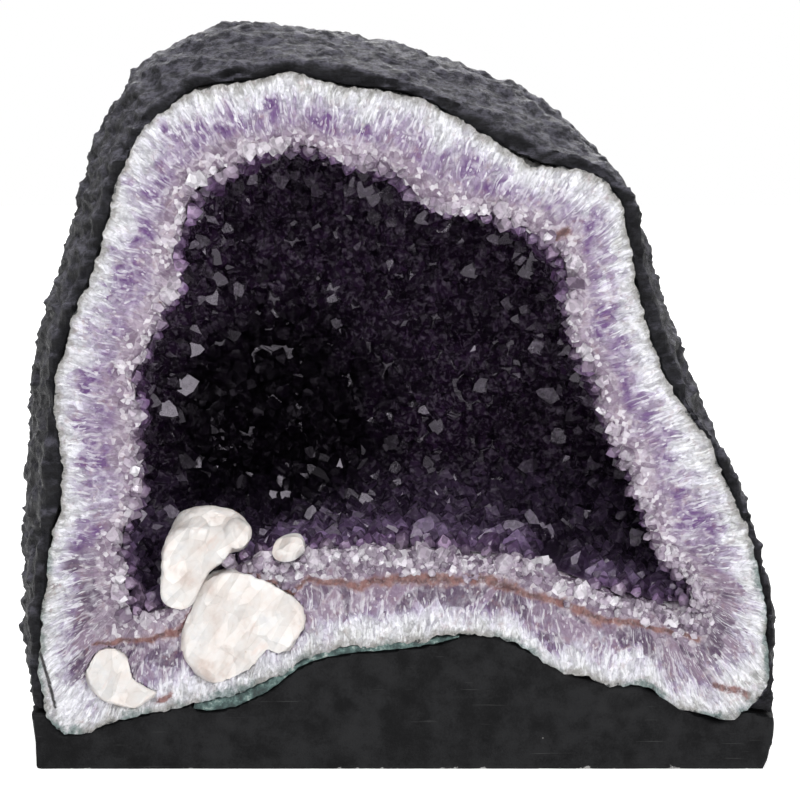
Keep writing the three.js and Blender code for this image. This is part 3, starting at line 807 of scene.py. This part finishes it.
def amethyst_paint(name):
    material, tree, surface = new_material(name)
    place = own_place(tree)
    axes = add(tree, "SeparateXYZ", {0: place})
    sawn = sums(tree, "ADD", sums(tree, "MULTIPLY", axes.outputs[2], SAWN_LEAN), SAWN_AT)
    depth = sums(tree, "SUBTRACT", axes.outputs[1], sawn)
    tone = add(tree, "Attribute", attribute_name="tone").outputs["Fac"]
    patch = sums(tree, "MULTIPLY", sums(tree, "SUBTRACT", speckle(tree, place, 20 * MM, 3.0), 0.5), 22 * MM)
    spread = sums(tree, "MULTIPLY", sums(tree, "SUBTRACT", tone, 0.5), 9 * MM)
    # Colour by depth behind the sawn face: pale at the mouth and dark violet behind, the crystals' own colour; the fall
    # to near black far back is painted shade
    depth_share = sums(tree, "DIVIDE", sums(tree, "ADD", sums(tree, "ADD", depth, patch), spread), 60 * MM)
    colour = ramp(tree, depth_share, (
        (0.00, (0.36, 0.30, 0.37)), (0.07, (0.19, 0.135, 0.205)), (0.15, (0.080, 0.048, 0.098)),
        (0.30, (0.040, 0.020, 0.050)), (0.62, (0.021, 0.010, 0.027)), (1.00, (0.011, 0.0050, 0.0145)),
    ))
    floor = sums(tree, "MULTIPLY", between(tree, axes.outputs[2], 98 * MM, 122 * MM, 1.0, 0.0), between(tree, depth, 10 * MM, 60 * MM, 1.0, 0.3))
    lighter = mixed(tree, tone, (0.050, 0.032, 0.072), (0.14, 0.10, 0.18))
    colour = mixed(tree, sums(tree, "MULTIPLY", floor, between(tree, depth_share, 0.15, 0.5, 0.0, 0.75)), colour, lighter)
    flaw = faceted(tree, place, (1 / (2.6 * MM),) * 3)
    inner = between(tree, flaw["Tone"], 0.0, 1.0, 0.55, 1.45)
    colour = mixed(tree, 1.0, colour, add(tree, "CombineXYZ", {0: inner, 1: inner, 2: inner}).outputs[0], "MULTIPLY")
    milky = between(tree, speckle(tree, place, 2.4 * MM, 3.0), 0.45, 0.75, 0.0, 0.25)
    colour = mixed(tree, milky, colour, mixed(tree, 0.5, colour, (0.55, 0.48, 0.6)))
    shade = between(tree, tone, 0.0, 1.0, 0.62, 1.5)
    colour = mixed(tree, 1.0, colour, add(tree, "CombineXYZ", {0: shade, 1: shade, 2: shade}).outputs[0], "MULTIPLY")
    # Painted shade: crystals round a deep pocket low on the left of the hollow are darkened almost to black
    pocket_away = add(tree, "VectorMath", {0: place, 1: (-56 * MM, 30 * MM, 138 * MM)}, operation="DISTANCE").outputs["Value"]
    unlit = between(tree, sums(tree, "ADD", pocket_away, patch), 34 * MM, 78 * MM, 0.12, 1.0)
    colour = mixed(tree, 1.0, colour, add(tree, "CombineColor", {0: unlit, 1: unlit, 2: unlit}).outputs[0], "MULTIPLY")
    striae = speckle(tree, place, 0.7 * MM, 3.0, 0.6)
    gloss = between(tree, speckle(tree, place, 3 * MM, 2.0), 0.3, 0.7, 0.05, 0.24)
    connect(
        tree, surface, colour=colour,
        roughness=gloss,
        normal=raised(tree, striae, 0.05 * MM),
    )
    surface.inputs["IOR"].default_value = 1.55
    surface.inputs["Specular Tint"].default_value = (0.90, 0.83, 0.95, 1.0)
    return material


def rim_paint():
    """Clear to faintly violet quartz, each crystal a little different, milky in places."""
    material, tree, surface = new_material("rim_quartz")
    place = own_place(tree)
    tone = add(tree, "Attribute", attribute_name="tone").outputs["Fac"]
    chip = faceted(tree, place, (1 / (2.4 * MM),) * 3)
    colour = ramp(tree, tone, (
        (0.0, (0.15, 0.105, 0.16)), (0.3, (0.30, 0.24, 0.315)), (0.7, (0.48, 0.42, 0.49)), (1.0, (0.78, 0.75, 0.80)),
    ))
    shade = between(tree, chip["Hue"], 0.0, 1.0, 0.55, 1.2)
    colour = mixed(tree, 0.8, colour, add(tree, "CombineColor", {0: shade, 1: shade, 2: shade}).outputs[0], "MULTIPLY")
    cloudy = between(tree, speckle(tree, place, 5 * MM, 3.0), 0.50, 0.66)
    colour = mixed(tree, sums(tree, "MULTIPLY", cloudy, 0.4), colour, (0.70, 0.67, 0.72))
    connect(
        tree, surface, colour=colour,
        roughness=between(tree, tone, 0.0, 1.0, 0.06, 0.22),
        normal=raised(tree, chip["Height"], 0.22 * MM),
    )
    surface.inputs["Transmission Weight"].default_value = 0.2
    surface.inputs["IOR"].default_value = 1.54
    return material


amethyst = amethyst_paint("amethyst_points")
shapes = [point_shape() for __ in range(8)]

# The bed the points stand on
bed_out, bed_in = [], []
walls = [ring(lining_surface, depth * MM, False) for depth in (9, 12, 16, 21)]
walls += bowl(lining_surface, walls[-1], middle, 26)
for number, wall in enumerate(walls):
    inwards = middle - wall
    inwards /= np.linalg.norm(inwards, axis=1, keepdims=True)
    bed_out.append(wall + inwards * 0.3 * MM)
    thickness = min(1.0, 0.35 + 0.2 * number) * (0.8 * MM + 0.3 * MM * (1 + ruffle(wall, 6 * MM, 1.0)))
    bed_in.append(wall + inwards * thickness[:, None])
bed_rows = [row[::3] for row in bed_out[::-1] + bed_in]
tips = np.array([bed_rows[0].mean(axis=0), bed_rows[-1].mean(axis=0)])
bed = ring_skin("amethyst_bed", bed_rows, tips)
bed.data.materials.append(amethyst)
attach(bed, "root")
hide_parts("amethyst_druse")


def wall_seats():
    """Places on the inside of the quartz wall, all at least a spacing apart."""
    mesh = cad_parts["quartz_lining"].data
    hub = Vector(middle)
    faces = []
    for face in mesh.polygons:
        centre = face.center
        inside = face.normal.dot(hub - centre) > 0.25 * (hub - centre).length
        if inside and centre.y > sawn_y(centre.z) + 1 * MM:
            faces.append(face)
    areas = np.cumsum([face.area for face in faces])
    kept, grid = [], {}
    for __ in range(90000):
        face = faces[int(np.searchsorted(areas, random.random() * areas[-1]))]
        a, b, c = (mesh.vertices[i].co for i in face.vertices[:3])
        u, v = random.random(), random.random()
        if u + v > 1:
            u, v = 1 - u, 1 - v
        place = a + (b - a) * u + (c - a) * v
        depth = place.y - sawn_y(place.z)
        sight = place - hub
        struck = lining_surface.ray_cast(hub, sight.normalized())[0]
        if depth < DRUSE_START or struck is None or (struck - place).length > 1.5 * MM:
            continue
        cell = tuple(int(math.floor(value / DRUSE_SPACING)) for value in place)
        near = [
            other
            for dx in (-1, 0, 1) for dy in (-1, 0, 1) for dz in (-1, 0, 1)
            for other in grid.get((cell[0] + dx, cell[1] + dy, cell[2] + dz), [])
        ]
        if all((place - other).length > DRUSE_SPACING for other in near):
            grid.setdefault(cell, []).append(place)
            kept.append((place, face.normal.copy()))
    return kept


def tilted(direction, most):
    sway = Vector((random.uniform(-1, 1), random.uniform(-1, 1), random.uniform(-1, 1)))
    return (direction + sway * math.tan(most)).normalized()


seats = []
for place, normal in wall_seats():
    depth = place.y - sawn_y(place.z)
    radius = random.triangular(3.4, 8.8, 5.2) * MM * (0.5 + 0.5 * float(rise(depth, 8 * MM, 32 * MM)))
    direction = tilted(normal, math.radians(21))
    seats.append((place + normal * random.uniform(0.6, 2.8) * MM, direction, radius, random.uniform(0.85, 1.15)))
half = len(seats) // 2
for number, share in enumerate((seats[:half], seats[half:])):
    bank = crystal_bank(f"amethyst_points_{number}", shapes, share)
    bank.data.materials.append(amethyst)
    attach(bank, "root")
    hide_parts("amethyst_druse")

# The pale crystals round the mouth
mouth_out = outward(mouth)
floor_part = [i for i in range(AROUND) if mouth_end[i][2] < 100 * MM and -90 * MM < mouth_end[i][0] < 135 * MM]
rim_seats = []
for __ in range(RIM_CRYSTALS):
    i = random.randrange(AROUND)
    depth = random.triangular(1.5, 13, 4) * MM
    place = Vector(mouth[i])
    place.y = sawn_y(place.z) + depth
    if set_back(place.x, place.z):
        continue
    inwards = -Vector(mouth_out[i])
    direction = tilted((inwards + Vector((0, -0.35, 0))).normalized(), math.radians(26))
    on_floor = float(rise(place.z, 120 * MM, 80 * MM))
    radius = random.triangular(1.6, 4.4 + 1.4 * on_floor, 2.4) * MM
    rim_seats.append((place - inwards * (0.5 + random.random()) * MM, direction, radius, random.uniform(0.8, 1.2)))
for __ in range(FLOOR_RIM_CRYSTALS):
    i = random.choice(floor_part)
    share = 0.75 + 0.27 * random.random() ** 0.7
    place = Vector(edge[i] * (1 - share) + mouth_end[i] * share)
    if set_back(place.x, place.z):
        continue
    place.y = sawn_y(place.z) + (0.9 + 2.2 * random.random()) * MM
    direction = tilted(Vector((0, -0.7, 0.8)).normalized(), math.radians(35))
    rim_seats.append((place, direction, random.triangular(1.0, 3.0, 1.6) * MM, random.uniform(0.8, 1.3)))
for x, z, radius in CLEAR_CRYSTALS:
    place = Vector((x * MM, sawn_y(z * MM) + 3.0 * MM, z * MM))
    rim_seats.append((place, tilted(Vector((0.1, -0.7, 0.7)).normalized(), 0.3), radius * MM, 0.9))
rim = crystal_bank("rim_crystals", shapes, rim_seats)
rim.data.materials.append(rim_paint())
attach(rim, "root")


# ------------------------------------------------------------------ the calcites
# Cream-white calcite that grew last: a block across the floor band, a knobbly stalk above it, a
# wedge in the lower left and a small chip on the floor's edge. Dull, cleaved and half clear.

def calcite_paint():
    material, tree, surface = new_material("cream_calcite")
    place = own_place(tree)
    tipped = add(tree, "Mapping", {"Vector": place, "Rotation": (0.5, 0.9, 0.4)}).outputs[0]
    sheet = faceted(tree, tipped, (1 / (16 * MM), 1 / (9 * MM), 1 / (4 * MM)))
    chunk = faceted(tree, place, (1 / (9 * MM),) * 3)
    cloud = speckle(tree, place, 11 * MM, 4.0, 0.6)
    colour = ramp(tree, cloud, (
        (0.25, (0.52, 0.435, 0.395)), (0.40, (0.63, 0.58, 0.55)), (0.60, (0.66, 0.64, 0.625)), (0.80, (0.56, 0.555, 0.57)),
    ))
    for facets in (sheet, chunk):
        shade = between(tree, facets["Tone"], 0.0, 1.0, 0.90, 1.06)
        grey = add(tree, "CombineColor", {0: shade, 1: shade, 2: shade}).outputs[0]
        colour = mixed(tree, 1.0, colour, grey, "MULTIPLY")
    seams = between(tree, speckle(tree, tipped, 6 * MM, 3.0, 0.6, stretch=(0.3, 0.6, 1.6)), 0.60, 0.72)
    colour = mixed(tree, sums(tree, "MULTIPLY", seams, 0.22), colour, (0.62, 0.40, 0.33))
    dirt = between(tree, speckle(tree, place, 3 * MM, 4.0, 0.7), 0.68, 0.76)
    colour = mixed(tree, sums(tree, "MULTIPLY", dirt, 0.5), colour, (0.30, 0.20, 0.13))
    relief = sums(tree, "ADD", sheet["Height"], sums(tree, "MULTIPLY", chunk["Height"], 2.5))
    connect(
        tree, surface, colour=colour,
        roughness=between(tree, chunk["Tone"], 0.0, 1.0, 0.55, 0.28),
        normal=raised(tree, relief, 0.8 * MM),
    )
    surface.inputs["Subsurface Weight"].default_value = 0.25
    surface.inputs["Subsurface Radius"].default_value = (1.0, 0.8, 0.65)
    surface.inputs["Subsurface Scale"].default_value = 3.0 * MM
    return material


def filled_out(stone, reach):
    """Fills a stone's clefts: swollen, meshed again as one skin, softened and shrunk back."""
    for strength in (reach, -0.9 * reach):
        swell = stone.modifiers.new("swell", "DISPLACE")
        swell.strength = strength
        swell.mid_level = 0.0
        fuse = stone.modifiers.new("fuse", "REMESH")
        fuse.mode = "VOXEL"
        fuse.voxel_size = 0.8 * MM
        soften = stone.modifiers.new("soften", "SMOOTH")
        soften.iterations = 26
    apply_modifiers(stone)


def cleave(stone, faces, depth, sideways):
    """Presses flat cleavage faces into the front of a stone, none deeper than the depth."""
    corners = points_of(stone)[0]
    whole = corners.copy()
    for __ in range(faces):
        normal = Vector((random.uniform(-sideways, sideways), -1, random.uniform(-sideways, sideways))).normalized()
        floor = (whole @ np.array(normal)).max() - random.uniform(0.3, 1.0) * depth
        over = np.clip(corners @ np.array(normal) - floor, 0, None)
        corners -= over[:, None] * np.array(normal)
    stone.data.vertices.foreach_set("co", corners.ravel())
    stone.data.update()


KNOB = (-70 * MM, SAWN_AT + 13 * MM, 104.5 * MM)  # the round white knob on the stalk's right
KNOB_RADIUS = 6.6 * MM

calcite = calcite_paint()
for node, name, melted, cleft, bulk, ragged, cuts, depth, sideways, proud in (
    ("calcite_block", "calcite_cleaved_block", 1, 0, 2.4, 1.8, 16, 2.6, 1.5, 1.1),
    ("calcite_nodule", "calcite_stalk", 6, 7.0, 3.0, 1.2, 4, 1.4, 0.9, 1.9),
    ("calcite_wedge", "calcite_corner", 1, 0, 1.6, 1.2, 12, 2.4, 1.5, 0.7),
    ("calcite_chip", "calcite_fleck", 0, 0, 0.6, 0.4, 12, 3.0, 1.6, 1.9),
):
    stone = fine_copy(node, name, 0.7 * MM, smooth=melted)
    if cleft:
        filled_out(stone, cleft * MM)
        bpy.ops.mesh.primitive_uv_sphere_add(segments=48, ring_count=24, radius=KNOB_RADIUS, location=KNOB)
        stone.select_set(True)
        bpy.context.view_layer.objects.active = stone
        bpy.ops.object.join()
        fuse = stone.modifiers.new("fuse", "REMESH")
        fuse.mode = "VOXEL"
        fuse.voxel_size = 0.7 * MM
        apply_modifiers(stone)
    displace(stone, name + "_bulk", "CLOUDS", 11 * MM, bulk * MM, noise_depth=1)
    displace(stone, name + "_ragged", "CLOUDS", 4 * MM, ragged * MM, noise_depth=2)
    only(stone)
    bpy.ops.object.mode_set(mode="EDIT")
    bpy.ops.mesh.select_all(action="SELECT")
    bpy.ops.transform.translate(value=(0, -proud * MM, 0))
    bpy.ops.object.mode_set(mode="OBJECT")
    cleave(stone, cuts, depth * MM, sideways)
    stone.data.materials.append(calcite)
    only(stone)
    bpy.ops.object.shade_smooth_by_angle(angle=math.radians(30))
    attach(stone, "root")
    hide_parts(node)


# ------------------------------------------------------------------ the pocket crystal
# One larger amethyst standing in the left corner of the floor.

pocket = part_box("pocket_crystal")
pocket_middle = (pocket[0] + pocket[1]) / 2
pocket_seats = [
    (pocket_middle + Vector((0, 0, -4 * MM)), Vector((0.1, -0.35, 1)).normalized(), 5.4 * MM, 1.5),
    (pocket_middle + Vector((5, 1, -5)) * MM, Vector((0.6, -0.3, 0.9)).normalized(), 3.6 * MM, 1.2),
    (pocket_middle + Vector((-3, -1, -5)) * MM, Vector((-0.4, -0.5, 0.9)).normalized(), 2.8 * MM, 1.2),
]
pocket_points = crystal_bank("pocket_points", shapes, pocket_seats)
pocket_points.data.materials.append(amethyst)
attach(pocket_points, "root")
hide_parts("pocket_crystal")


# ------------------------------------------------------------------ floor, light and camera
# A plain pale table in a white studio: broad soft lights from above, in front and behind, and
# five small ones that make the crystals glint.

CAMERA_ELEVATION = math.radians(9)
CAMERA_DISTANCE = 1.5
CAMERA_TARGET = Vector((2 * MM, sawn_y(0.164), 0.164))

bpy.ops.mesh.primitive_plane_add(size=4.8, location=(0, 0, 0))
floor = bpy.context.object
floor.name = "studio_floor"
paper, tree, surface = new_material("studio_paper")
mottle = speckle(tree, own_place(tree), 0.4, 2.0)
connect(tree, surface, colour=mixed(tree, mottle, (0.90, 0.90, 0.90), (0.94, 0.94, 0.94)), roughness=0.9)
surface.inputs["Emission Color"].default_value = (1, 1, 1, 1)
surface.inputs["Emission Strength"].default_value = 0.6
floor.data.materials.append(paper)


def soft_light(name, place, aim, size, power):
    bpy.ops.object.light_add(type="AREA", location=place)
    light = bpy.context.object
    light.name = name
    light.data.size = size
    light.data.energy = power
    light.rotation_mode = "QUATERNION"
    light.rotation_quaternion = (Vector(aim) - Vector(place)).to_track_quat("-Z", "Y")
    return light


soft_light("top_light", (-0.2, -0.3, 1.5), (0, 0, 0.15), 1.0, 14)
soft_light("front_light", (0.5, -1.7, 0.9), (0, 0, 0.15), 0.9, 14)
soft_light("back_light", (0.1, 2.0, 1.35), (0, 0, 0.25), 1.8, 32)
for number, place in enumerate(((0.15, -1.6, 0.25), (-0.5, -1.5, 0.7), (0.75, -1.3, 0.3), (-0.2, -1.6, 1.1), (0.4, -1.3, 1.3))):
    soft_light(f"glint_light_{number}", place, (0, 0, 0.15), 0.09, 0.9)

world = bpy.data.worlds.new("studio")
bpy.context.scene.world = world
world.use_nodes = True
background = world.node_tree.nodes["Background"]
background.inputs[0].default_value = (1.0, 1.0, 1.0, 1.0)
seen = add(world.node_tree, "LightPath").outputs["Is Camera Ray"]
world.node_tree.links.new(between(world.node_tree, seen, 0.0, 1.0, 0.30, 1.0), background.inputs[1])

back = Vector((0, -math.cos(CAMERA_ELEVATION), math.sin(CAMERA_ELEVATION)))
bpy.ops.object.camera_add(location=CAMERA_TARGET + back * CAMERA_DISTANCE)
camera = bpy.context.object
camera.name = "studio_camera"
camera.rotation_mode = "QUATERNION"
camera.rotation_quaternion = (-back).to_track_quat("-Z", "Y")
camera.data.sensor_width = 36
camera.data.lens = 153
camera.data.clip_end = 50
bpy.context.scene.camera = camera
bpy.context.scene.view_settings.view_transform = "Standard"
